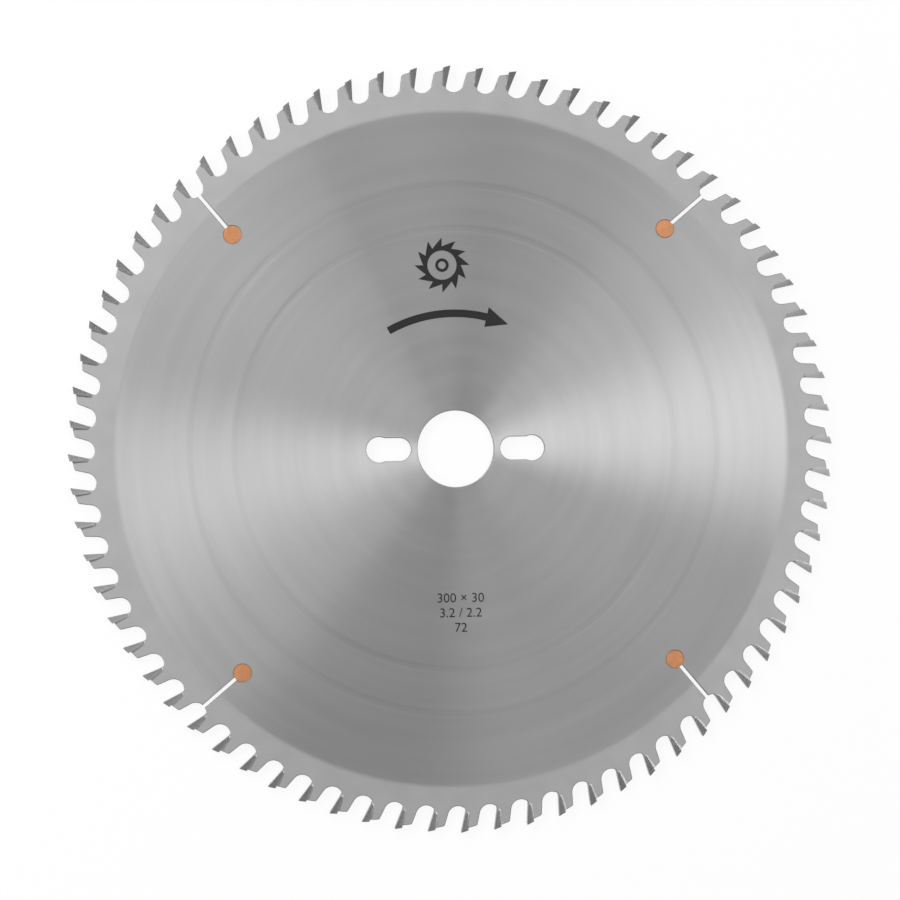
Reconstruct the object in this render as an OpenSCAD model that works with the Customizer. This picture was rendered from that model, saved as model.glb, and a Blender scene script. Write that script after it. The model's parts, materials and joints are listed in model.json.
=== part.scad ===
// Carbide-tipped circular saw blade: a ground steel plate with brazed tips in alternating bevels,
// expansion slots that end in pressed copper plugs, a bore and two pin slots.
// The plate lies flat with +Z out of its upper face, the origin in the middle of the bore and +X along
// the pin slots. Seen from +Z the blade turns clockwise. Lengths are in millimetres, angles in degrees.

/* [Blade] */
// Diameter over the cutting corners
blade_d = 300; // [250:1:380]
// Pairs of teeth, each with one left and one right bevel
tooth_pairs = 36; // [28:1:42]
// Width of the cut, over the widest part of the tips
kerf = 3.2; // [2.8:0.1:4.4]
// Thickness of the steel plate
plate_t = 2.2; // [1.6:0.1:2.4]

/* [Bore and pin slots] */
// Diameter of the arbor bore
bore_d = 30; // [20:0.1:40]
// Steel left between the bore and a pin slot
pin_web = 2.5; // [1.5:0.1:6]
// Width of a pin slot
pin_slot_w = 9; // [6:0.1:10]
// Distance from the round inner end of a pin slot to its outer hole, between centres
pin_slot_run = 8; // [6:0.1:14]
// Diameter of the hole at the outer end of a pin slot
pin_hole_d = 10; // [10:0.1:13]

/* [Carbide tips] */
// Height of a tip along the radius, from the cutting corner to the ledge that it sits on
tip_h = 7.85; // [6:0.05:8.5]
// Distance from the cutting corner back to the seat
tip_back = 2.85; // [2.4:0.05:3.4]
// Hook angle of the cutting face
hook = 13; // [5:0.5:16]
// Clearance angle behind the cutting edge
top_clearance = 15; // [8:0.5:18]
// Slope of the cutting edge across the kerf
bevel = 5; // [3:0.5:20]
// Narrowing of a tip towards its root, on each flank
root_clearance = 1; // [0.5:0.1:2]
// Narrowing of a tip towards its seat, on each flank
seat_clearance = 2; // [1:0.1:4]
// Chamfer on the inner corner of a tip and its seat
tip_chamfer = 0.4; // [0.2:0.05:0.6]

/* [Teeth and gullets] */
// Clear width of the throat between a tooth's back and the next cutting corner
throat_w = 6.7; // [6:0.1:8]
// Depth of a gullet below the cutting corners
gullet_depth = 10.35; // [9.5:0.05:13]
// Radius of a gullet's round bottom
gullet_r = 4; // [3:0.1:4.5]
// Steel under the front edge of a tip, down to the round of the gullet
ledge_h = 1.2; // [0.5:0.05:1.5]
// Drop from the cutting corner to the steel shoulder behind a tip
shoulder_drop = 1.7; // [1:0.05:2.5]
// Fall of the shoulder towards the tooth's back
shoulder_relief = 15; // [5:0.5:20]
// Radius on the corner between shoulder and back
heel_r = 0.9; // [0.3:0.05:1.1]

/* [Expansion slots] */
// Number of slots around the rim
slot_count = 4; // [3:1:6]
// Width of a slot
slot_w = 1.4; // [0.8:0.1:2.5]
// Radial distance from the gullet floor to the middle of a plug
slot_depth = 19.5; // [14:0.1:30]
// Lean of a slot, outwards and clockwise
slot_lean = 5.2; // [0:0.1:12]
// Distance from a gullet's lowest point back to the middle of the slot's mouth
slot_shift = 0.45; // [0:0.05:1]
// Diameter of a copper plug and of the hole that it fills
plug_d = 7; // [5:0.1:10]
// Chamfer on the rims of a plug
plug_chamfer = 0.15; // [0.05:0.05:0.3]

/* [Tension rings] */
// Distance from the gullet floors in to the middle of the outer rolled ring
outer_ring_inset = 36.2; // [30:0.1:45]
// Distance from the gullet floors in to the middle of the inner rolled ring
inner_ring_inset = 53.4; // [50:0.1:75]
// Width of a rolled ring
ring_w = 3; // [2:0.1:5]
// Depth of a rolled ring in each face
ring_depth = 0.05; // [0.02:0.01:0.08]

/* [Hidden] */
$fn = 96;

teeth = 2 * tooth_pairs;
pitch_angle = 360 / teeth;
tip_r = blade_d / 2;
floor_r = tip_r - gullet_depth;

// How far outlines run past the cutting corners, so that cuts leave nothing standing
over = 2;
// Rounds cross the lines that they blend into by this much, so that they meet in a clear corner
blend = 0.003;
// Side of the blocks that stand for the ground planes of a tip, well past it on every side
grind = 4 * (tip_h + over);

// Points of a tooth lie in its own plane frame: the cutting corner is the origin, +X is the way that
// the blade turns and +Y points outwards along the radius.
function turned(p, a) = [p.x * cos(a) - p.y * sin(a), p.x * sin(a) + p.y * cos(a)];
function unit(v) = v / norm(v);
// A point of the following tooth, in the frame of this one
function on_following(p) = turned(p + [0, tip_r], pitch_angle) - [0, tip_r];
// Where a line from p touches a circle, on its clockwise side
function touch(p, centre, r) =
    let (v = p - centre)
    centre + r * turned(unit(v), -acos(r / norm(v)));

// Cutting face: its line carried on outwards, and its foot
face_top = [over * tan(hook), over];
face_foot = [-tip_h * tan(hook), -tip_h];
// Outline of a tip from the side, open at the top until it is ground
tip_outline = [
    face_top,
    face_foot,
    [-tip_back + tip_chamfer, -tip_h],
    [-tip_back, -tip_h + tip_chamfer],
    [-tip_back, over]
];

// The gullet's round passes through the front of the ledge under the tip
toe = face_foot - [0, ledge_h];
gullet_y = gullet_r - gullet_depth;
gullet_c = [toe.x + sqrt(pow(gullet_r, 2) - pow(toe.y - gullet_y, 2)), gullet_y];

// Shoulder and back of a tooth. The back runs down to touch the following gullet.
pitch_w = 2 * tip_r * sin(pitch_angle / 2);
land = pitch_w - throat_w;
shoulder_top = [-tip_back, -shoulder_drop];
heel = [-land, -shoulder_drop - (land - tip_back) * tan(shoulder_relief)];
back_gullet_c = on_following(gullet_c);
back_foot = touch(heel, back_gullet_c, gullet_r - blend);

// Round of the heel: its centre, and where it meets the shoulder and the back
to_shoulder = unit(shoulder_top - heel);
to_back = unit(back_foot - heel);
half_corner = acos(to_shoulder * to_back) / 2;
heel_c = heel + unit(to_shoulder + to_back) * heel_r / sin(half_corner);
heel_marks = [for (way = [to_shoulder, to_back]) heel + way * heel_r / tan(half_corner)];

// Middle of a copper plug in the frame of the tooth behind its slot
slot_mouth = [gullet_c.x - slot_shift, -gullet_depth];
slot_run = slot_depth / cos(slot_lean);
plug_at = slot_mouth - slot_run * [sin(slot_lean), cos(slot_lean)];
slot_teeth = [for (i = [0 : slot_count - 1]) round((i + 0.5) * teeth / slot_count)];

pin_inner_x = (bore_d + pin_slot_w) / 2 + pin_web;
pin_outer_x = pin_inner_x + pin_slot_run;

function two_digits(n) = str(n < 10 ? "0" : "", n);
tip_nodes = [for (i = [1 : tooth_pairs]) str("tip_pair_", two_digits(i))];
plug_nodes = [for (i = [1 : slot_count]) str("copper_plug_", i)];

module at_tooth(index) {
    rotate([0, 0, index * pitch_angle - 90])
        translate([0, tip_r, 0])
            children();
}

// What lies in front of a cutting face, down to the gullet's round
module front_clearance() {
    intersection() {
        polygon([face_top, face_foot, toe, [toe.x, -tip_r], [tip_r, -tip_r], [tip_r, over]]);
        union() {
            translate(gullet_c) circle(gullet_r);
            translate([-tip_back, gullet_y])
                square([tip_back + gullet_c.x + gullet_r / 2, over - gullet_y]);
        }
    }
}

// What lies above a shoulder and behind a tooth's back
module back_clearance() {
    polygon([
        shoulder_top,
        heel,
        back_foot,
        back_gullet_c,
        [back_gullet_c.x, over],
        [-tip_back, over]
    ]);
    difference() {
        polygon([for (p = [heel_c, heel_marks[0], heel, heel_marks[1]]) 2 * p - heel_c]);
        translate(heel_c) circle(heel_r + blend);
    }
}

module tooth_gap() {
    front_clearance();
    back_clearance();
    polygon(tip_outline);
}

module expansion_slot() {
    translate(plug_at) {
        circle(d = plug_d);
        rotate(-slot_lean)
            translate([-slot_w / 2, 0])
                square([slot_w, slot_run + gullet_r]);
    }
}

module pin_slot() {
    translate([pin_inner_x, 0]) circle(d = pin_slot_w);
    translate([pin_inner_x, -pin_slot_w / 2]) square([pin_slot_run, pin_slot_w]);
    translate([pin_outer_x, 0]) circle(d = pin_hole_d);
}

module plate_outline() {
    difference() {
        circle(tip_r);
        for (i = [0 : teeth - 1]) at_tooth(i) tooth_gap();
        for (i = slot_teeth) at_tooth(i) expansion_slot();
        for (side = [0, 180]) rotate(side) pin_slot();
        circle(d = bore_d);
    }
}

// One rolled ring, as the shallow trough that it leaves in the upper face
module tension_ring(inset) {
    rotate_extrude()
        translate([floor_r - inset - ring_w / 2, plate_t / 2 - ring_depth])
            square([ring_w, 2 * ring_depth]);
}

module blade_body() {
    color([0.72, 0.72, 0.72])
        difference() {
            linear_extrude(plate_t, center = true) plate_outline();
            for (inset = [outer_ring_inset, inner_ring_inset]) {
                tension_ring(inset);
                mirror([0, 0, 1]) tension_ring(inset);
            }
        }
}

// The block that a flank plane leaves, with the plane through the cutting corner on the +Z side
module flank() {
    translate([0, 0, kerf / 2])
        rotate([root_clearance, -seat_clearance, 0])
            translate([-grind / 2, -grind / 2, -grind])
                cube(grind);
}

// The block under the ground top: side is 1 for a point on the +Z side and -1 for one on the -Z side
module under_top(side) {
    translate([0, 0, side * kerf / 2])
        rotate([-side * bevel, 0, top_clearance])
            translate([-grind / 2, -grind, -grind / 2])
                cube(grind);
}

module tip(side) {
    intersection() {
        linear_extrude(kerf, center = true) polygon(tip_outline);
        flank();
        mirror([0, 0, 1]) flank();
        under_top(side);
    }
}

module tip_pair(index) {
    color([0.40, 0.40, 0.41]) {
        at_tooth(2 * index) tip(1);
        at_tooth(2 * index + 1) tip(-1);
    }
}

module copper_plug(tooth) {
    r = plug_d / 2;
    half_t = plate_t / 2;
    color([0.73, 0.55, 0.42])
        at_tooth(tooth)
            translate([plug_at.x, plug_at.y, 0])
                rotate_extrude()
                    polygon([
                        [0, -half_t],
                        [r - plug_chamfer, -half_t],
                        [r, -half_t + plug_chamfer],
                        [r, half_t - plug_chamfer],
                        [r - plug_chamfer, half_t],
                        [0, half_t]
                    ]);
}

blade_body();
for (i = [0 : tooth_pairs - 1])
    tip_pair(i);
for (i = [0 : slot_count - 1])
    copper_plug(slot_teeth[i]);
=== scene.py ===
import json
import math
import random

import bmesh
import bpy
import numpy as np
from mathutils import Matrix, Vector, geometry


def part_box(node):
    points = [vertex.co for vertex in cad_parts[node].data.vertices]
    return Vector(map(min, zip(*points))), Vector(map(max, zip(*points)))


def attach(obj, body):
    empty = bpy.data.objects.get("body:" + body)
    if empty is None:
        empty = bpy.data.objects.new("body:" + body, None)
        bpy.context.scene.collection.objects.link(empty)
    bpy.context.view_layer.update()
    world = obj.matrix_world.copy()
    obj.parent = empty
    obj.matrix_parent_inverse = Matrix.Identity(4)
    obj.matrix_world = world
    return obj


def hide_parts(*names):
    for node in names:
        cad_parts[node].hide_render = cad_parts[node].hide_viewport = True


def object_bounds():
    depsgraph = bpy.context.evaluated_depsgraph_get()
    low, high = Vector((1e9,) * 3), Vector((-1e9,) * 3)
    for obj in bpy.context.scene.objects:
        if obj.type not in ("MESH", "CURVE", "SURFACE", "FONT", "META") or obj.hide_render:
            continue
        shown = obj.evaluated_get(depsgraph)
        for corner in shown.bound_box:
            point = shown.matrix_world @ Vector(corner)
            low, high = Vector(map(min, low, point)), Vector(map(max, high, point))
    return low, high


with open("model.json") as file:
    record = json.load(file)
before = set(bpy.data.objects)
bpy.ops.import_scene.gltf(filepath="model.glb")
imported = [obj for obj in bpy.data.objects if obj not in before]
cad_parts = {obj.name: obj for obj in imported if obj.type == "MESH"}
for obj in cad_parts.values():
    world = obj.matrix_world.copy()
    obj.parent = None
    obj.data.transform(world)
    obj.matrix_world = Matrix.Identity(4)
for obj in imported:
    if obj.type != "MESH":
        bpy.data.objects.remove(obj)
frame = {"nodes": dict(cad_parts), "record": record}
cadLow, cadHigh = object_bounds()

mm = 0.001
scene = bpy.context.scene
scene.view_settings.view_transform = "Standard"

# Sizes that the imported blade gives, in millimetres
mounts = {mount["name"]: mount for mount in frame["record"]["mounts"]}
tipNames = sorted(name for name in frame["nodes"] if name.startswith("tip_pair"))
plugNames = sorted(name for name in frame["nodes"] if name.startswith("copper_plug"))
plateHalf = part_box("blade_body")[1].z / mm
cornerRadius = cadHigh.x / mm
boreRadius = mounts["bore"]["dims"]["r_mm"]
toothCount = 2 * len(tipNames)
pitch = 360 / toothCount
print("frame:", toothCount, "teeth,", len(plugNames), "plugs, corner radius", round(cornerRadius, 2))


# Plane geometry, angles in degrees

def turned(p, angle):
    a = math.radians(angle)
    return Vector((p.x * math.cos(a) - p.y * math.sin(a), p.x * math.sin(a) + p.y * math.cos(a)))


def polar(radius, angle):
    return turned(Vector((radius, 0)), angle)


def angleOf(v):
    return math.degrees(math.atan2(v.y, v.x))


def arc(centre, radius, start, end, chord=0.4, least=6):
    steps = max(least, math.ceil(abs(math.radians(end - start)) * radius / chord))
    return [centre + polar(radius, start + (end - start) * k / steps) for k in range(steps + 1)]


def inset(loop, distance):
    # Moves each point into the steel, which lies to the left of the loop
    moved = []
    for k, p in enumerate(loop):
        before = (p - loop[k - 1]).normalized()
        after = (loop[(k + 1) % len(loop)] - p).normalized()
        a = Vector((-before.y, before.x))
        b = Vector((-after.y, after.x))
        moved.append(p + (a + b) * distance / (1 + a.dot(b)))
    return moved


# Outline of the plate, in the frame of one tooth: the cutting corner is the origin, +X is the way
# that the blade turns and +Y points outwards

tooth = {
    "tipHeight": 7.85,       # cutting corner down to the ledge
    "tipBack": 2.85,         # cutting corner back to the seat
    "hook": 13.0,
    "seatChamfer": 0.4,
    "throat": 6.7,           # between a tooth's back and the next cutting corner
    "gulletDepth": 10.35,
    "gulletRadius": 4.0,
    "ledge": 1.2,            # steel under the front of a tip
    "shoulderDrop": 1.7,
    "shoulderRelief": 15.0,
    "heelRadius": 0.9,
}
slot = {"width": 1.4, "lean": 5.2}
pinSlot = {"inner": 22.0, "run": 8.0, "width": 9.0, "hole": 10.0}

hub = Vector((0, cornerRadius))
faceFoot = Vector((-tooth["tipHeight"] * math.tan(math.radians(tooth["hook"])), -tooth["tipHeight"]))
toe = faceFoot - Vector((0, tooth["ledge"]))
gulletY = tooth["gulletRadius"] - tooth["gulletDepth"]
gulletMid = Vector((toe.x + math.sqrt(tooth["gulletRadius"] ** 2 - (toe.y - gulletY) ** 2), gulletY))
shoulderTop = Vector((-tooth["tipBack"], -tooth["shoulderDrop"]))
land = 2 * cornerRadius * math.sin(math.radians(pitch / 2)) - tooth["throat"]
shoulderFall = (land - tooth["tipBack"]) * math.tan(math.radians(tooth["shoulderRelief"]))
heel = Vector((-land, -tooth["shoulderDrop"] - shoulderFall))
seatLine = [
    faceFoot,
    Vector((-tooth["tipBack"] + tooth["seatChamfer"], -tooth["tipHeight"])),
    Vector((-tooth["tipBack"], -tooth["tipHeight"] + tooth["seatChamfer"])),
    shoulderTop,
]


def toBlade(p, index):
    return turned(p + hub, index * pitch - 90)


def toTooth(p, index):
    return turned(p, 90 - index * pitch) - hub


def backFoot():
    # Where the back of a tooth touches the round of the gullet behind it
    following = toTooth(toBlade(gulletMid, 1), 0)
    away = heel - following
    lift = math.degrees(math.acos(tooth["gulletRadius"] / away.length))
    return following + turned(away.normalized(), -lift) * tooth["gulletRadius"]


def heelRound():
    toShoulder = (shoulderTop - heel).normalized()
    toBack = (backFoot() - heel).normalized()
    half = math.acos(toShoulder.dot(toBack)) / 2
    middle = heel + (toShoulder + toBack).normalized() * tooth["heelRadius"] / math.sin(half)
    reach = tooth["heelRadius"] / math.tan(half)
    start = angleOf(heel + toShoulder * reach - middle)
    end = angleOf(heel + toBack * reach - middle)
    return arc(middle, tooth["heelRadius"], start, end + 360 * (end < start))


def plugPlace(name):
    low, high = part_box(name)
    middle = (low + high).to_2d() / 2 / mm
    return middle, (high.x - low.x) / 2 / mm


def slotCut(plugMid, plugRadius):
    # Down one side of the slot, round the plug's hole and up the other side
    along = Vector((math.sin(math.radians(slot["lean"])), math.cos(math.radians(slot["lean"]))))
    across = Vector((along.y, -along.x)) * slot["width"] / 2
    rise = math.sqrt(plugRadius ** 2 - (slot["width"] / 2) ** 2)
    mouths = []
    for side in (across, -across):
        q = plugMid + side - gulletMid
        depth = q.dot(along)
        run = -depth - math.sqrt(depth ** 2 - q.length_squared + tooth["gulletRadius"] ** 2)
        mouths.append(plugMid + side + along * run)
    start = angleOf(across + along * rise)
    gap = 2 * math.degrees(math.asin(slot["width"] / 2 / plugRadius))
    return [mouths[0]] + arc(plugMid, plugRadius, start, start - 360 + gap) + [mouths[1]]


def rimOutline():
    slots = {}
    for name in plugNames:
        middle, radius = plugPlace(name)
        index = round(angleOf(middle) % 360 / pitch)
        slots[index] = slotCut(toTooth(middle, index), radius)
    enter = angleOf(toTooth(toBlade(backFoot(), -1), 0) - gulletMid)
    leave = angleOf(toe - gulletMid)
    loop = []
    for index in range(toothCount):
        if index in slots:
            cut = slots[index]
            run = arc(gulletMid, tooth["gulletRadius"], enter, angleOf(cut[0] - gulletMid))[:-1] + cut
            run += arc(gulletMid, tooth["gulletRadius"], angleOf(cut[-1] - gulletMid), leave)[1:]
        else:
            run = arc(gulletMid, tooth["gulletRadius"], enter, leave)
        loop += [toBlade(p, index) for p in run + seatLine + heelRound()]
    return loop


def pinOutline(side):
    inner = Vector((pinSlot["inner"], 0))
    outer = inner + Vector((pinSlot["run"], 0))
    opening = 180 - math.degrees(math.asin(pinSlot["width"] / pinSlot["hole"]))
    loop = arc(outer, pinSlot["hole"] / 2, opening, -opening)
    loop += arc(inner, pinSlot["width"] / 2, -90, -270)
    return [turned(p, side) for p in loop]


def circle(radius, steps=360):
    return [polar(radius, -360 * k / steps) for k in range(steps)]


# Node helpers and the effects that several finishes share

def feed(tree, socket, value):
    if isinstance(value, bpy.types.NodeSocket):
        tree.links.new(value, socket)
    elif value is not None:
        socket.default_value = value


def mathNode(tree, operation, a, b=None):
    node = tree.nodes.new("ShaderNodeMath")
    node.operation = operation
    feed(tree, node.inputs[0], a)
    feed(tree, node.inputs[1], b)
    return node.outputs[0]


def vectorNode(tree, operation, a, b=None):
    node = tree.nodes.new("ShaderNodeVectorMath")
    node.operation = operation
    feed(tree, node.inputs[0], a)
    feed(tree, node.inputs[1], b)
    return node.outputs["Value" if operation in ("LENGTH", "DOT_PRODUCT") else "Vector"]


def combineNode(tree, x, y, z):
    node = tree.nodes.new("ShaderNodeCombineXYZ")
    for socket, value in zip(node.inputs, (x, y, z)):
        feed(tree, socket, value)
    return node.outputs[0]


def noiseNode(tree, place, scale, detail):
    node = tree.nodes.new("ShaderNodeTexNoise")
    feed(tree, node.inputs["Vector"], place)
    feed(tree, node.inputs["Scale"], scale)
    feed(tree, node.inputs["Detail"], detail)
    return node.outputs[0]


def rangeNode(tree, value, low, high, newLow, newHigh, smooth=False):
    node = tree.nodes.new("ShaderNodeMapRange")
    node.interpolation_type = "SMOOTHSTEP" if smooth else "LINEAR"
    for socket, number in zip(node.inputs, (value, low, high, newLow, newHigh)):
        feed(tree, socket, number)
    return node.outputs[0]


def spanNode(tree, value, low=0.0, high=1.0, span=(0.3, 0.7)):
    # Spreads the span of a noise, where most of it lies, over low to high
    return rangeNode(tree, value, *span, low, high)


def mixNode(tree, share, first, second):
    node = tree.nodes.new("ShaderNodeMix")
    node.data_type = "RGBA"
    sockets = {socket.identifier: socket for socket in node.inputs}
    feed(tree, sockets["Factor_Float"], share)
    feed(tree, sockets["A_Color"], first)
    feed(tree, sockets["B_Color"], second)
    return next(socket for socket in node.outputs if socket.identifier == "Result_Color")


def bumpNode(tree, height, depth):
    node = tree.nodes.new("ShaderNodeBump")
    node.inputs["Strength"].default_value = 1.0
    node.inputs["Distance"].default_value = depth * mm
    tree.links.new(height, node.inputs["Height"])
    return node.outputs[0]


def placeNode(tree):
    # Place on the blade in millimetres
    coordinate = tree.nodes.new("ShaderNodeTexCoord")
    return vectorNode(tree, "MULTIPLY", coordinate.outputs["Object"], (1 / mm, 1 / mm, 1 / mm))


def spokeNode(tree):
    # Direction from the axis outwards, across the turned lines
    coordinate = tree.nodes.new("ShaderNodeTexCoord")
    return vectorNode(tree, "MULTIPLY", coordinate.outputs["Object"], (1 / mm, 1 / mm, 0))


def newGroup(name, inputs, outputs):
    group = bpy.data.node_groups.new(name, "ShaderNodeTree")
    for label, value in inputs.items():
        socket = group.interface.new_socket(label, in_out="INPUT", socket_type="NodeSocketFloat")
        socket.default_value = value
    for label in outputs:
        group.interface.new_socket(label, in_out="OUTPUT", socket_type="NodeSocketFloat")
    return group, group.nodes.new("NodeGroupInput"), group.nodes.new("NodeGroupOutput")


def placeGroup(tree, group, **values):
    node = tree.nodes.new("ShaderNodeGroup")
    node.node_tree = group
    for label, value in values.items():
        feed(tree, node.inputs[label], value)
    return node.outputs


turnedNoise = {
    "lines": {"width": "lineWidth", "around": 5.0, "detail": 3.0},       # around: change round the axis
    "bands": {"width": "bandWidth", "around": 1.2, "detail": 2.0},
}
gritDetail = 3.0


def makeTurnedLines():
    # Grinding lines that run round the axis, with wider bands between them
    widths = {"lineWidth": 0.3, "bandWidth": 6.0}
    group, given, made = newGroup("turnedLines", widths, ["lines", "bands", "radius"])
    spoke = spokeNode(group)
    radius = vectorNode(group, "LENGTH", spoke)
    outwards = vectorNode(group, "NORMALIZE", spoke)
    for label, look in turnedNoise.items():
        around = look["around"]
        split = group.nodes.new("ShaderNodeSeparateXYZ")
        feed(group, split.inputs[0], vectorNode(group, "MULTIPLY", outwards, (around, around, 0)))
        step = mathNode(group, "DIVIDE", radius, given.outputs[look["width"]])
        place = combineNode(group, step, split.outputs[0], split.outputs[1])
        feed(group, made.inputs[label], noiseNode(group, place, 1.0, look["detail"]))
    feed(group, made.inputs["radius"], radius)
    return group


def makeRolledRing():
    # 1 on a ring that a tension roller has pressed, 0 beside it
    ring = {"radius": 0.0, "middle": 90.0, "width": 3.0, "soft": 0.6}
    group, given, made = newGroup("rolledRing", ring, ["mask"])
    gap = mathNode(group, "SUBTRACT", given.outputs["radius"], given.outputs["middle"])
    half = mathNode(group, "MULTIPLY", given.outputs["width"], 0.5)
    inside = mathNode(group, "SUBTRACT", half, mathNode(group, "ABSOLUTE", gap))
    mask = rangeNode(group, inside, 0.0, given.outputs["soft"], 0.0, 1.0, True)
    feed(group, made.inputs["mask"], mask)
    return group


def makeGrit():
    # Fine grains without direction, over softer clouds
    group, given, made = newGroup("grit", {"grain": 0.3, "cloud": 12.0}, ["grains", "clouds"])
    place = placeNode(group)
    for label, width in (("grains", "grain"), ("clouds", "cloud")):
        scale = mathNode(group, "DIVIDE", 1.0, given.outputs[width])
        feed(group, made.inputs[label], noiseNode(group, place, scale, gritDetail))
    return group


turnedLines = makeTurnedLines()
rolledRing = makeRolledRing()
grit = makeGrit()


def newFinish(name, sockets):
    finish = bpy.data.materials.new(name)
    finish.use_nodes = True
    tree = finish.node_tree
    shader = tree.nodes["Principled BSDF"]
    for label, value in sockets.items():
        shader.inputs[label].default_value = value
    return finish, tree, shader


def newMetal(name, anisotropy=0.0):
    return newFinish(name, {"Metallic": 1.0, "Anisotropic": anisotropy})


def dress(tree, shader, colour, roughness, normal):
    feed(tree, shader.inputs["Base Color"], colour)
    feed(tree, shader.inputs["Roughness"], roughness)
    feed(tree, shader.inputs["Normal"], normal)


# Finishes of the plate

lineSpan = (0.25, 0.75)      # part of the line noise that the roughness follows
tensionRings = {
    "middles": (86.25, 103.45),
    "width": 3.0,
    "depth": 0.05,
    "steep": 3,              # more keeps the floor of the trough flatter
    "soft": 0.7,
    "darker": 0.06,
    "darkColour": (0.1, 0.1, 0.1, 1),
}
ground = {
    "colour": (0.500, 0.500, 0.503, 1),
    "darkColour": (0.465, 0.465, 0.468, 1),
    "roughness": (0.36, 0.41),
    "anisotropy": 1.0,
    "lineWidth": 0.28,
    "bandWidth": 5.0,
    "lineDepth": 0.0006,
}
blasted = {
    "colour": (0.466, 0.466, 0.468, 1),
    "darkColour": (0.436, 0.436, 0.438, 1),
    "roughness": (0.58, 0.68),
    "anisotropy": 0.3,      # a trace of the grinding is left
    "grain": 0.28,
    "cloud": 9.0,
    "grainDepth": 0.004,
}
cutEdge = {
    "colour": (0.31, 0.307, 0.30, 1),
    "darkColour": (0.23, 0.226, 0.22, 1),
    "roughness": (0.34, 0.5),
    "streak": 0.22,          # width of a cutting streak
    "streakAlong": 0.08,     # change along a streak, for each change across it
    "streakDetail": 3.0,
    "streakDepth": 0.012,
}
groundTo = 130.7             # the ground disc ends between these radii, over the feather
blastedFrom = 133.3


def dressGround(tree, shader):
    effect = placeGroup(tree, turnedLines, lineWidth=ground["lineWidth"], bandWidth=ground["bandWidth"])
    masks = [
        placeGroup(tree, rolledRing, radius=effect["radius"], middle=middle,
                   width=tensionRings["width"], soft=tensionRings["soft"])["mask"]
        for middle in tensionRings["middles"]
    ]
    pressed = mathNode(tree, "MAXIMUM", *masks)
    shade = mathNode(tree, "MULTIPLY", pressed, tensionRings["darker"])
    colour = mixNode(tree, spanNode(tree, effect["bands"]), ground["colour"], ground["darkColour"])
    colour = mixNode(tree, shade, colour, tensionRings["darkColour"])
    roughness = spanNode(tree, effect["lines"], *ground["roughness"], lineSpan)
    dress(tree, shader, colour, roughness, bumpNode(tree, effect["lines"], ground["lineDepth"]))
    feed(tree, shader.inputs["Tangent"], spokeNode(tree))


def dressBlasted(tree, shader):
    effect = placeGroup(tree, grit, grain=blasted["grain"], cloud=blasted["cloud"])
    colour = mixNode(tree, spanNode(tree, effect["clouds"]), blasted["colour"], blasted["darkColour"])
    roughness = spanNode(tree, effect["grains"], *blasted["roughness"])
    dress(tree, shader, colour, roughness, bumpNode(tree, effect["grains"], blasted["grainDepth"]))
    feed(tree, shader.inputs["Tangent"], spokeNode(tree))


def groundFinish():
    finish, tree, shader = newMetal("groundSteel", ground["anisotropy"])
    dressGround(tree, shader)
    return finish


def blastedFinish():
    finish, tree, shader = newMetal("blastedSteel", blasted["anisotropy"])
    dressBlasted(tree, shader)
    return finish


def featherFinish():
    # The ground lines run out into the blasted rim
    finish, tree, shader = newMetal("featheredSteel", ground["anisotropy"])
    dressGround(tree, shader)
    other = tree.nodes.new("ShaderNodeBsdfPrincipled")
    other.inputs["Metallic"].default_value = 1.0
    other.inputs["Anisotropic"].default_value = blasted["anisotropy"]
    dressBlasted(tree, other)
    radius = vectorNode(tree, "LENGTH", spokeNode(tree))
    mix = tree.nodes.new("ShaderNodeMixShader")
    feed(tree, mix.inputs[0], rangeNode(tree, radius, groundTo, blastedFrom, 0.0, 1.0, True))
    feed(tree, mix.inputs[1], shader.outputs[0])
    feed(tree, mix.inputs[2], other.outputs[0])
    feed(tree, tree.nodes["Material Output"].inputs["Surface"], mix.outputs[0])
    return finish


def cutEdgeFinish():
    finish, tree, shader = newMetal("cutSteelEdge")
    flat = vectorNode(tree, "MULTIPLY", placeNode(tree), (1, 1, cutEdge["streakAlong"]))
    streaks = noiseNode(tree, flat, 1 / cutEdge["streak"], cutEdge["streakDetail"])
    colour = mixNode(tree, spanNode(tree, streaks), cutEdge["colour"], cutEdge["darkColour"])
    roughness = spanNode(tree, streaks, *cutEdge["roughness"])
    dress(tree, shader, colour, roughness, bumpNode(tree, streaks, cutEdge["streakDepth"]))
    return finish


# Meshes

def newPiece(name, points, faces, finishes, slots=None):
    mesh = bpy.data.meshes.new(name)
    mesh.from_pydata([Vector(p) * mm for p in points], [], faces)
    piece = bpy.data.objects.new(name, mesh)
    scene.collection.objects.link(piece)
    for finish in finishes:
        mesh.materials.append(finish)
    if slots:
        mesh.polygons.foreach_set("material_index", slots)
    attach(piece, "root")
    return piece


meetDistance = 0.002         # points closer than this, in millimetres, become one


def tidyMesh(piece, sharpAngle, apart=()):
    # Joins points that meet, and keeps sharp corners and the lines between the given slots
    work = bmesh.new()
    work.from_mesh(piece.data)
    bmesh.ops.remove_doubles(work, verts=work.verts, dist=meetDistance * mm)
    bmesh.ops.recalc_face_normals(work, faces=work.faces)
    for face in work.faces:
        face.smooth = True
    for edge in work.edges:
        sides = {face.material_index in apart for face in edge.link_faces}
        edge.smooth = len(sides) < 2 and edge.calc_face_angle(0) < math.radians(sharpAngle)
    work.to_mesh(piece.data)
    work.free()


# The plate

plateForm = {
    "edge": 0.28,            # radius of the rounded edges
    "edgeSteps": 3,
    "boreSteps": 240,
    "ringSteps": 10,
    "guard": 0.6,            # flat strip beside a tension ring
    "join": 1e-5,            # points of a face closer than this become one
    "sharpAngle": 35,
}
edgeSlot = 3                 # after the three finishes of the faces


def troughDepth(radius):
    for middle in tensionRings["middles"]:
        share = abs(radius - middle) / (tensionRings["width"] / 2)
        if share < 1:
            rounding = math.cos(math.pi * share ** tensionRings["steep"])
            return tensionRings["depth"] * (0.5 + 0.5 * rounding)
    return 0.0


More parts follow.
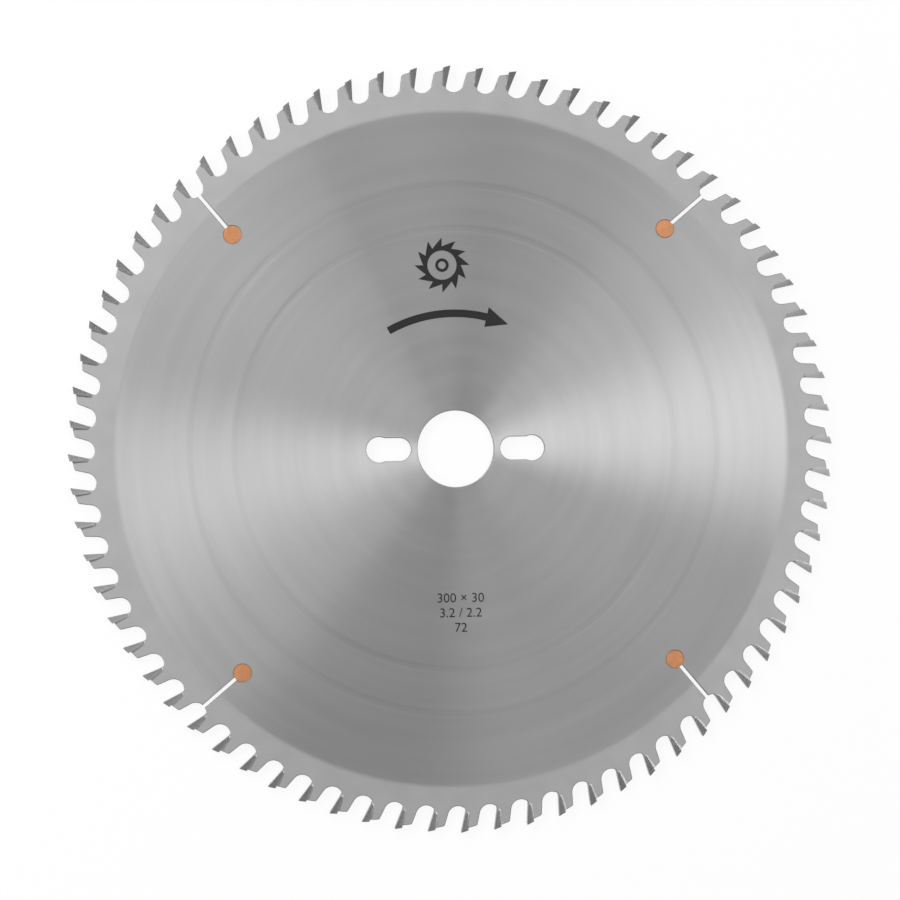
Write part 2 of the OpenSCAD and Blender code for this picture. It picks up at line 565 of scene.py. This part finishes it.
def faceCircles():
    radii = [groundTo, blastedFrom]
    half = tensionRings["width"] / 2
    steps = plateForm["ringSteps"]
    for middle in tensionRings["middles"]:
        radii += [middle - half - plateForm["guard"], middle + half + plateForm["guard"]]
        radii += [middle + half * (2 * k / steps - 1) for k in range(steps + 1)]
    return [circle(radius) for radius in radii]


def insideLoops(spots, loops):
    inside = np.zeros(len(spots), bool)
    x, y = spots.T
    for loop in loops:
        for a, b in zip(loop, loop[1:] + loop[:1]):
            if a.y != b.y:
                crossed = (a.y > y) != (b.y > y)
                inside ^= crossed & (x < (b.x - a.x) * (y - a.y) / (b.y - a.y) + a.x)
    return inside


def buildPlate():
    bore = circle(boreRadius, plateForm["boreSteps"])
    loops = [rimOutline(), bore, pinOutline(0), pinOutline(180)]
    faceLoops = [inset(loop, plateForm["edge"]) for loop in loops]
    points, edges = [], []
    for loop in faceLoops + faceCircles():
        start = len(points)
        points += loop
        edges += [(start + k, start + (k + 1) % len(loop)) for k in range(len(loop))]
    flat, _, triangles, _, _, _ = geometry.delaunay_2d_cdt(points, edges, [], 0, plateForm["join"])
    spots = np.array([sum((flat[k] for k in face), Vector((0, 0))) / 3 for face in triangles])
    inside = insideLoops(spots, faceLoops)
    spotRadius = np.hypot(*spots.T)
    verts, faces, slots = [], [], []
    for side in (1, -1):
        start = len(verts)
        verts += [(p.x, p.y, side * (plateHalf - troughDepth(p.length))) for p in flat]
        for face, keep, radius in zip(triangles, inside, spotRadius):
            if keep:
                faces.append([start + k for k in face[::side]])
                slots.append(int(radius > groundTo) + int(radius > blastedFrom))
    for loop in loops:
        rings = []
        for side in (1, -1):
            for k in range(plateForm["edgeSteps"] + 1)[::side]:
                turn = math.pi / 2 * k / plateForm["edgeSteps"]
                level = side * (plateHalf - plateForm["edge"] * (1 - math.cos(turn)))
                ring = inset(loop, plateForm["edge"] * (1 - math.sin(turn)))
                rings.append([(p.x, p.y, level) for p in ring])
        for upper, lower in zip(rings, rings[1:]):
            start = len(verts)
            count = len(loop)
            verts += upper + lower
            for k in range(count):
                after = (k + 1) % count
                faces.append([start + k, start + count + k, start + count + after, start + after])
                slots.append(edgeSlot)
    finishes = [groundFinish(), featherFinish(), blastedFinish(), cutEdgeFinish()]
    plate = newPiece("plate", verts, faces, finishes, slots)
    tidyMesh(plate, plateForm["sharpAngle"], apart=(edgeSlot,))
    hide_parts("blade_body")
    print("plate:", len(plate.data.polygons), "faces")


buildPlate()


# Carbide tips, with their edges just broken

carbide = {
    "colour": (0.312, 0.312, 0.316, 1),
    "darkColour": (0.277, 0.277, 0.281, 1),
    "seatPaintedLightColour": (0.375, 0.373, 0.369, 1),
    "seatPaintedLightSpan": (0.10, 0.22),        # painted light: paler towards the braze, in pitches behind the cutting corner
    "seatPaintedLightShare": 0.6,
    "roughness": (0.36, 0.41),
    "anisotropy": 1.0,
    "lineWidth": 0.16,
    "bandWidth": 1.1,
    "lineDepth": 0.0008,
    "edge": 0.04,
    "edgeSteps": 2,
    "edgeAngle": 8,                  # corners that turn more than this are broken
    "join": 0.001,
}


def carbideFinish():
    finish, tree, shader = newMetal("groundCarbide", carbide["anisotropy"])
    widths = {key: carbide[key] for key in ("lineWidth", "bandWidth")}
    effect = placeGroup(tree, turnedLines, **widths)
    colour = mixNode(tree, spanNode(tree, effect["bands"]), carbide["colour"], carbide["darkColour"])
    split = tree.nodes.new("ShaderNodeSeparateXYZ")
    feed(tree, split.inputs[0], placeNode(tree))
    turn = mathNode(tree, "ARCTAN2", split.outputs[1], split.outputs[0])
    behind = mathNode(tree, "FRACT", mathNode(tree, "DIVIDE", turn, math.radians(pitch)))
    # Painted light: the back of each tip, towards the braze, is made paler in its colour in place of
    # the shading seen there
    seat = rangeNode(tree, behind, *carbide["seatPaintedLightSpan"], 0.0, carbide["seatPaintedLightShare"], True)
    colour = mixNode(tree, seat, colour, carbide["seatPaintedLightColour"])
    roughness = spanNode(tree, effect["lines"], *carbide["roughness"], lineSpan)
    dress(tree, shader, colour, roughness, bumpNode(tree, effect["lines"], carbide["lineDepth"]))
    feed(tree, shader.inputs["Tangent"], spokeNode(tree))
    return finish


def dressTips():
    finish = carbideFinish()
    for name in tipNames:
        tips = frame["nodes"][name]
        tips.data.materials.clear()
        tips.data.materials.append(finish)
        tips.modifiers.new("joined", "WELD").merge_threshold = carbide["join"] * mm
        edges = tips.modifiers.new("brokenEdges", "BEVEL")
        edges.width = carbide["edge"] * mm
        edges.segments = carbide["edgeSteps"]
        edges.limit_method = "ANGLE"
        edges.angle_limit = math.radians(carbide["edgeAngle"])
        tips.modifiers.new("flatFaces", "WEIGHTED_NORMAL")
    print("tips:", len(tipNames), "pairs dressed")


dressTips()


# Braze that shows along each seat, on both faces

braze = {
    "footHeight": 0.13,
    "topHeight": 0.28,
    "spread": 3.3,           # width for each height
    "clear": 0.22,           # kept back from the plate's edges
    "overTip": 0.12,
    "sunk": -0.15,           # bottom and crest over the tip, in heights
    "crest": 1.03,
    "slope": ((0.0, 1.0), (0.35, 0.63), (0.7, 0.27), (1.0, -0.04), (1.1, -0.15)),   # widths, heights
    "corner": ((-0.4, -0.9), (-0.9, -0.4)),      # ways into the steel at the seat's chamfer
    "steps": 6,
    "unevenness": 0.12,
    "seed": 11,
    "sharpAngle": 50,
    "colour": (0.42, 0.417, 0.410, 1),
    "darkColour": (0.33, 0.328, 0.322, 1),
    "roughness": (0.34, 0.42),
    "grain": 0.35,
    "cloud": 1.5,
    "grainDepth": 0.01,
}


def brazeFinish():
    finish, tree, shader = newMetal("silverBraze")
    effect = placeGroup(tree, grit, grain=braze["grain"], cloud=braze["cloud"])
    colour = mixNode(tree, spanNode(tree, effect["clouds"]), braze["colour"], braze["darkColour"])
    roughness = spanNode(tree, effect["grains"], *braze["roughness"])
    dress(tree, shader, colour, roughness, bumpNode(tree, effect["grains"], braze["grainDepth"]))
    return finish


def brazePath():
    # Points along the seat with the direction into the steel and the height of the braze at each
    low, high = braze["footHeight"], braze["topHeight"]
    front = faceFoot - Vector((braze["clear"], 0))
    top = seatLine[3] - Vector((0, braze["clear"]))
    path = [(front, Vector((0, -1)), low)]
    path += [(place, Vector(into), low) for place, into in zip(seatLine[1:3], braze["corner"])]
    steps = braze["steps"]
    for k in range(1, steps + 1):
        lean = math.radians(tooth["shoulderRelief"]) * k / steps     # ends along the shoulder
        into = Vector((-math.cos(lean), -math.sin(lean)))
        path.append((seatLine[2].lerp(top, k / steps), into, low + (high - low) * k / steps))
    return path


def brazeSection(width, height):
    # From below the tip's flank over the crest and down into the plate
    back = -braze["overTip"]
    section = [(back, braze["sunk"] * height), (back, braze["crest"] * height)]
    return section + [(out * width, up * height) for out, up in braze["slope"]]


def buildBraze():
    draw = random.Random(braze["seed"])
    uneven = braze["unevenness"]
    verts, faces = [], []
    path = brazePath()
    for index in range(toothCount):
        for side in (1, -1):
            start = len(verts)
            for place, into, rise in path:
                width = braze["spread"] * rise * (1 + uneven * draw.uniform(-1, 1))
                height = rise * (1 + uneven * draw.uniform(-1, 1))
                section = brazeSection(width, height)
                for out, up in section:
                    p = toBlade(place + into * out, index)
                    verts.append((p.x, p.y, side * (plateHalf + up)))
            count = len(section)
            for row in range(len(path) - 1):
                for k in range(count):
                    a = start + row * count + k
                    b = start + row * count + (k + 1) % count
                    faces.append([a, b, b + count, a + count])
            faces.append([start + k for k in range(count)])
            faces.append([start + (len(path) - 1) * count + k for k in range(count)])
    seams = newPiece("braze_seams", verts, faces, [brazeFinish()])
    tidyMesh(seams, braze["sharpAngle"])
    print("braze:", len(seams.data.polygons), "faces")


buildBraze()


# Copper plugs, pressed flush and a little uneven

copper = {
    "colour": (0.655, 0.312, 0.152, 1),
    "darkColour": (0.550, 0.258, 0.118, 1),
    "paleColour": (0.640, 0.375, 0.260, 1),
    "toneSpan": (0.35, 0.65),
    "speckSpan": (0.5, 0.75),        # pale specks
    "speckShare": 0.6,
    "roughness": (0.58, 0.70),
    "grain": 0.5,
    "cloud": 2.4,
    "grainDepth": 0.03,
    "chamfer": 0.15,
    "rings": 14,
    "spokes": 56,
    "dents": 9,
    "dentDepth": 0.05,
    "dentReach": 0.85,
    "dentSize": (0.5, 1.1),
    "dentFade": 6,                   # more lets dents reach closer to the rim
    "seed": 5,
    "sharpAngle": 30,
}


def copperFinish():
    finish, tree, shader = newMetal("pressedCopper")
    effect = placeGroup(tree, grit, grain=copper["grain"], cloud=copper["cloud"])
    tone = spanNode(tree, effect["clouds"], span=copper["toneSpan"])
    speck = spanNode(tree, effect["grains"], 0.0, copper["speckShare"], copper["speckSpan"])
    colour = mixNode(tree, tone, copper["colour"], copper["darkColour"])
    colour = mixNode(tree, speck, colour, copper["paleColour"])
    roughness = spanNode(tree, effect["grains"], *copper["roughness"])
    dress(tree, shader, colour, roughness, bumpNode(tree, effect["grains"], copper["grainDepth"]))
    return finish


def drawDents(draw, radius):
    dents = []
    for _ in range(copper["dents"]):
        away = radius * copper["dentReach"] * math.sqrt(draw.random())
        place = polar(away, draw.uniform(0, 360))
        dents.append((place, draw.uniform(*copper["dentSize"])))
    return dents


def dentDepth(p, dents):
    dip = sum(max(0, 1 - (p - place).length_squared / size ** 2) ** 2 for place, size in dents)
    return copper["dentDepth"] * min(1, dip)


def buildPlugs():
    finish = copperFinish()
    draw = random.Random(copper["seed"])
    rings, spokes = copper["rings"], copper["spokes"]
    for name in plugNames:
        middle, radius = plugPlace(name)
        flatRadius = radius - copper["chamfer"]
        verts, faces = [], []
        for side in (1, -1):
            dents = drawDents(draw, flatRadius)
            start = len(verts)
            verts.append((middle.x, middle.y, side * plateHalf))
            for ring in range(1, rings + 1):
                for spoke in range(spokes):
                    p = polar(flatRadius * ring / rings, 360 * spoke / spokes)
                    fade = 1 - (ring / rings) ** copper["dentFade"]
                    level = plateHalf - dentDepth(p, dents) * fade
                    verts.append((middle.x + p.x, middle.y + p.y, side * level))
            for spoke in range(spokes):
                p = polar(radius, 360 * spoke / spokes)
                verts.append((middle.x + p.x, middle.y + p.y, side * (plateHalf - copper["chamfer"])))
            for spoke in range(spokes):
                after = (spoke + 1) % spokes
                faces.append([start, start + 1 + spoke, start + 1 + after])
                for ring in range(rings):
                    a = start + 1 + ring * spokes
                    faces.append([a + spoke, a + spokes + spoke, a + spokes + after, a + after])
        rim = 1 + rings * spokes
        below = 1 + (rings + 1) * spokes
        for spoke in range(spokes):
            after = (spoke + 1) % spokes
            faces.append([rim + spoke, below + rim + spoke, below + rim + after, rim + after])
        plug = newPiece(name.replace("copper_", "pressed_"), verts, faces, [finish])
        tidyMesh(plug, copper["sharpAngle"])
        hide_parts(name)
    print("plugs:", len(plugNames), "pressed in")


buildPlugs()


# Printed marks: a turning arrow, a small blade sign and plain sizes

printMarks = {
    "thickness": 0.03,
    "arrowRadius": 53.0,
    "arrowWidth": 3.0,
    "arrowFrom": 119.0,
    "arrowTo": 76.0,
    "headWidth": 8.0,
    "headLength": 9.0,
    "signPlace": (72.0, 93.5),       # radius and angle
    "signTeeth": 12,
    "signRadius": 7.4,
    "signTooth": 3.4,
    "signRing": 1.7,
    "signBack": (0.3, 0.55),         # a point of a tooth's back, in tooth heights and steps
    "signBore": 0.36,
    "signBoreRing": 0.7,
    "signSteps": (90, 48, 36),
    "lines": ("300 × 30", "3.2 / 2.2", "72"),
    "linesPlace": (60.0, 271.0),
    "lineHeight": 3.6,
    "lineStep": 5.8,
    "digitShare": 0.7,               # height of a digit, as a share of the font's size
    "colour": (0.011, 0.011, 0.0115, 1),
    "wornColour": (0.030, 0.030, 0.031, 1),
    "wornSpan": (0.45, 0.8),
    "roughness": (0.5, 0.68),
    "specular": 0.25,
    "grain": 0.35,
    "cloud": 3.0,
    "grainDepth": 0.004,
    "sharpAngle": 30,
}


def inkFinish():
    finish, tree, shader = newFinish("darkInk", {"Specular IOR Level": printMarks["specular"]})
    effect = placeGroup(tree, grit, grain=printMarks["grain"], cloud=printMarks["cloud"])
    worn = spanNode(tree, effect["grains"], span=printMarks["wornSpan"])
    colour = mixNode(tree, worn, printMarks["colour"], printMarks["wornColour"])
    roughness = spanNode(tree, effect["clouds"], *printMarks["roughness"])
    dress(tree, shader, colour, roughness, bumpNode(tree, effect["grains"], printMarks["grainDepth"]))
    return finish


def arrowLoop():
    radius, half = printMarks["arrowRadius"], printMarks["arrowWidth"] / 2
    start, end = printMarks["arrowFrom"], printMarks["arrowTo"]
    point = end - math.degrees(printMarks["headLength"] / radius)
    middle = Vector((0, 0))
    loop = arc(middle, radius + half, start, end)
    loop += [polar(radius + printMarks["headWidth"] / 2, end), polar(radius, point)]
    loop += [polar(radius - printMarks["headWidth"] / 2, end)]
    return loop + arc(middle, radius - half, end, start)


def signLoops():
    middle = polar(*printMarks["signPlace"])
    radius, toothHeight, ring = (printMarks[key] for key in ("signRadius", "signTooth", "signRing"))
    step = 360 / printMarks["signTeeth"]
    backHeight, backPlace = printMarks["signBack"]
    outer = []
    for k in range(printMarks["signTeeth"]):
        outer.append(middle + polar(radius, k * step))
        outer.append(middle + polar(radius + toothHeight, k * step))
        outer.append(middle + polar(radius + toothHeight * backHeight, (k + backPlace) * step))
    bore = radius * printMarks["signBore"]
    radii = (radius - ring, bore, bore - ring * printMarks["signBoreRing"])
    rings = [circle(r, steps) for r, steps in zip(radii, printMarks["signSteps"])]
    return [outer] + [[middle + p for p in loop] for loop in rings]


def inkOutline(loops):
    data = bpy.data.curves.new("mark", "CURVE")
    for loop in loops:
        spline = data.splines.new("POLY")
        spline.points.add(len(loop) - 1)
        for point, p in zip(spline.points, loop):
            point.co = (p.x * mm, p.y * mm, 0, 1)
        spline.use_cyclic_u = True
    return data, Vector((0, 0))


def inkNumber(words, row):
    data = bpy.data.curves.new("mark", "FONT")
    data.body = words
    data.align_x = "CENTER"
    data.size = printMarks["lineHeight"] * mm / printMarks["digitShare"]
    return data, polar(*printMarks["linesPlace"]) - Vector((0, row * printMarks["lineStep"]))


def buildPrint():
    marks = [inkOutline([arrowLoop()]), inkOutline(signLoops())]
    marks += [inkNumber(words, row) for row, words in enumerate(printMarks["lines"])]
    work = bmesh.new()
    for data, place in marks:
        data.dimensions = "2D"
        data.fill_mode = "BOTH"
        data.extrude = printMarks["thickness"] / 2 * mm
        shape = bpy.data.objects.new("mark", data)
        scene.collection.objects.link(shape)
        shape.location = Vector((place.x, place.y, plateHalf)) * mm
        bpy.context.view_layer.update()
        filled = shape.evaluated_get(bpy.context.evaluated_depsgraph_get())
        mesh = bpy.data.meshes.new_from_object(filled)
        mesh.transform(shape.matrix_world)
        work.from_mesh(mesh)
        bpy.data.objects.remove(shape)
        bpy.data.meshes.remove(mesh)
    marksPiece = newPiece("print_marks", [], [], [inkFinish()])
    work.to_mesh(marksPiece.data)
    work.free()
    tidyMesh(marksPiece, printMarks["sharpAngle"])
    print("print:", len(marksPiece.data.polygons), "faces")


buildPrint()


# Camera, where the photograph was taken from, in millimetres

camera = {
    "place": (-78.52, -4.65, 831.03),
    "aim": (-2.30, -0.45, 1.3),
    "roll": 0.82,
    "lens": 85.28,
    "sensor": 36.0,
    "clip": (0.01, 50.0),            # in metres
}


def placeCamera():
    data = bpy.data.cameras.new("camera")
    data.sensor_width = camera["sensor"]
    data.lens = camera["lens"]
    data.clip_start, data.clip_end = camera["clip"]
    eye = bpy.data.objects.new("camera", data)
    scene.collection.objects.link(eye)
    place = Vector(camera["place"]) * mm
    forward = (Vector(camera["aim"]) * mm - place).normalized()
    right = forward.cross(Vector((0, 1, 0))).normalized()
    level = right.cross(forward)
    roll = math.radians(camera["roll"])
    up = level * math.cos(roll) + right * math.sin(roll)
    axes = Matrix((forward.cross(up), up, -forward)).transposed()
    eye.matrix_world = Matrix.Translation(place) @ axes.to_4x4()
    scene.camera = eye


placeCamera()
print("camera placed")


# Floor and light, in metres

studio = {
    "floor": 12.0,                   # half of the floor's side
    "white": (0.8, 0.8, 0.8, 1),
    "floorRoughness": 0.9,
    "glow": 0.9,                     # share of plain white in the floor that is seen
    "low": 0.42,                     # light of the world level with the floor, and from "rise" upwards
    "high": 0.37,
    "rise": 0.8,
    "litSide": 350.0,                # low down, the world is lighter on this side
    "lean": 0.3,
    "dimSide": 256.0,                # and all the way up it is dimmer on this one
    "dimSpread": (8.0, 22.0),
    "dim": 0.6,
    "wall": (0.08, 0.22),            # white past the floor's end, and where it runs out
    "boxDistance": 1.6,
    "boxHeight": 0.62,
}
softboxes = {
    "rightStrip": {"azimuth": 4.3, "elevation": 58, "width": 0.5, "power": 3.85},
    "sideBox": {"azimuth": 42, "elevation": 58, "width": 0.77, "power": 2.75},
    "backBox": {"azimuth": 90, "elevation": 32, "width": 1.44, "power": 5.7},
    "cornerBox": {"azimuth": 137, "elevation": 32, "width": 1.44, "power": 14.0},
    "leftBox": {"azimuth": 188.5, "elevation": 32, "width": 1.37, "power": 9.0},
    "leftStrip": {"azimuth": 222, "elevation": 32, "width": 0.68, "power": 2.45},
    "frontStrip": {"azimuth": 294, "elevation": 58, "width": 0.43, "power": 0.62},
}


def seenNode(tree):
    # 1 for the rays that show the background, directly or in metal
    path = tree.nodes.new("ShaderNodeLightPath")
    seen = mathNode(tree, "MAXIMUM", path.outputs["Is Camera Ray"], path.outputs["Is Glossy Ray"])
    return mathNode(tree, "MAXIMUM", seen, path.outputs["Is Transmission Ray"])


def buildFloor():
    half = studio["floor"]
    level = cadLow.z
    mesh = bpy.data.meshes.new("floor")
    corners = [(-half, -half, level), (half, -half, level), (half, half, level), (-half, half, level)]
    mesh.from_pydata(corners, [], [(0, 1, 2, 3)])
    floor = bpy.data.objects.new("floor", mesh)
    scene.collection.objects.link(floor)
    look = {"Base Color": studio["white"], "Roughness": studio["floorRoughness"]}
    finish, tree, shader = newFinish("whiteFloor", look)
    glow = tree.nodes.new("ShaderNodeEmission")
    mix = tree.nodes.new("ShaderNodeMixShader")
    feed(tree, mix.inputs[0], mathNode(tree, "MULTIPLY", seenNode(tree), studio["glow"]))
    feed(tree, mix.inputs[1], shader.outputs[0])
    feed(tree, mix.inputs[2], glow.outputs[0])
    feed(tree, tree.nodes["Material Output"].inputs["Surface"], mix.outputs[0])
    mesh.materials.append(finish)


def lightWorld():
    world = bpy.data.worlds.new("studio")
    scene.world = world
    world.use_nodes = True
    tree = world.node_tree
    way = tree.nodes.new("ShaderNodeTexCoord").outputs["Generated"]
    split = tree.nodes.new("ShaderNodeSeparateXYZ")
    feed(tree, split.inputs[0], way)
    rise = split.outputs[2]
    lit = polar(1.0, studio["litSide"])
    toLit = vectorNode(tree, "DOT_PRODUCT", way, (lit.x, lit.y, 0))
    low = mathNode(tree, "ADD", mathNode(tree, "MULTIPLY", toLit, studio["lean"]), studio["low"])
    light = rangeNode(tree, rise, 0.0, studio["rise"], low, studio["high"], True)
    level = vectorNode(tree, "NORMALIZE", vectorNode(tree, "MULTIPLY", way, (1, 1, 0)))
    dim = polar(1.0, studio["dimSide"])
    toDim = vectorNode(tree, "DOT_PRODUCT", level, (dim.x, dim.y, 0))
    near, far = [math.cos(math.radians(angle)) for angle in studio["dimSpread"]]
    left = rangeNode(tree, toDim, far, near, 1.0, 1.0 - studio["dim"], True)
    light = mathNode(tree, "MULTIPLY", light, left)
    wall = rangeNode(tree, rise, *studio["wall"], 1.0, 0.0, True)
    shown = mathNode(tree, "MAXIMUM", light, mathNode(tree, "MULTIPLY", seenNode(tree), wall))
    feed(tree, tree.nodes["Background"].inputs["Color"], shown)


def hangSoftbox(name, azimuth, elevation, width, power):
    data = bpy.data.lights.new(name, "AREA")
    data.shape = "ELLIPSE"
    data.size = width
    data.size_y = studio["boxHeight"]
    data.energy = power
    lamp = bpy.data.objects.new(name, data)
    scene.collection.objects.link(lamp)
    flat = polar(math.cos(math.radians(elevation)), azimuth)
    away = Vector((flat.x, flat.y, math.sin(math.radians(elevation))))
    side = Vector((-flat.y, flat.x, 0)).normalized()
    axes = Matrix((side, away.cross(side), away)).transposed()
    lamp.matrix_world = Matrix.Translation(away * studio["boxDistance"]) @ axes.to_4x4()


buildFloor()
lightWorld()
for name, box in softboxes.items():
    hangSoftbox(name, **box)
print("studio lit by", len(softboxes), "softboxes")
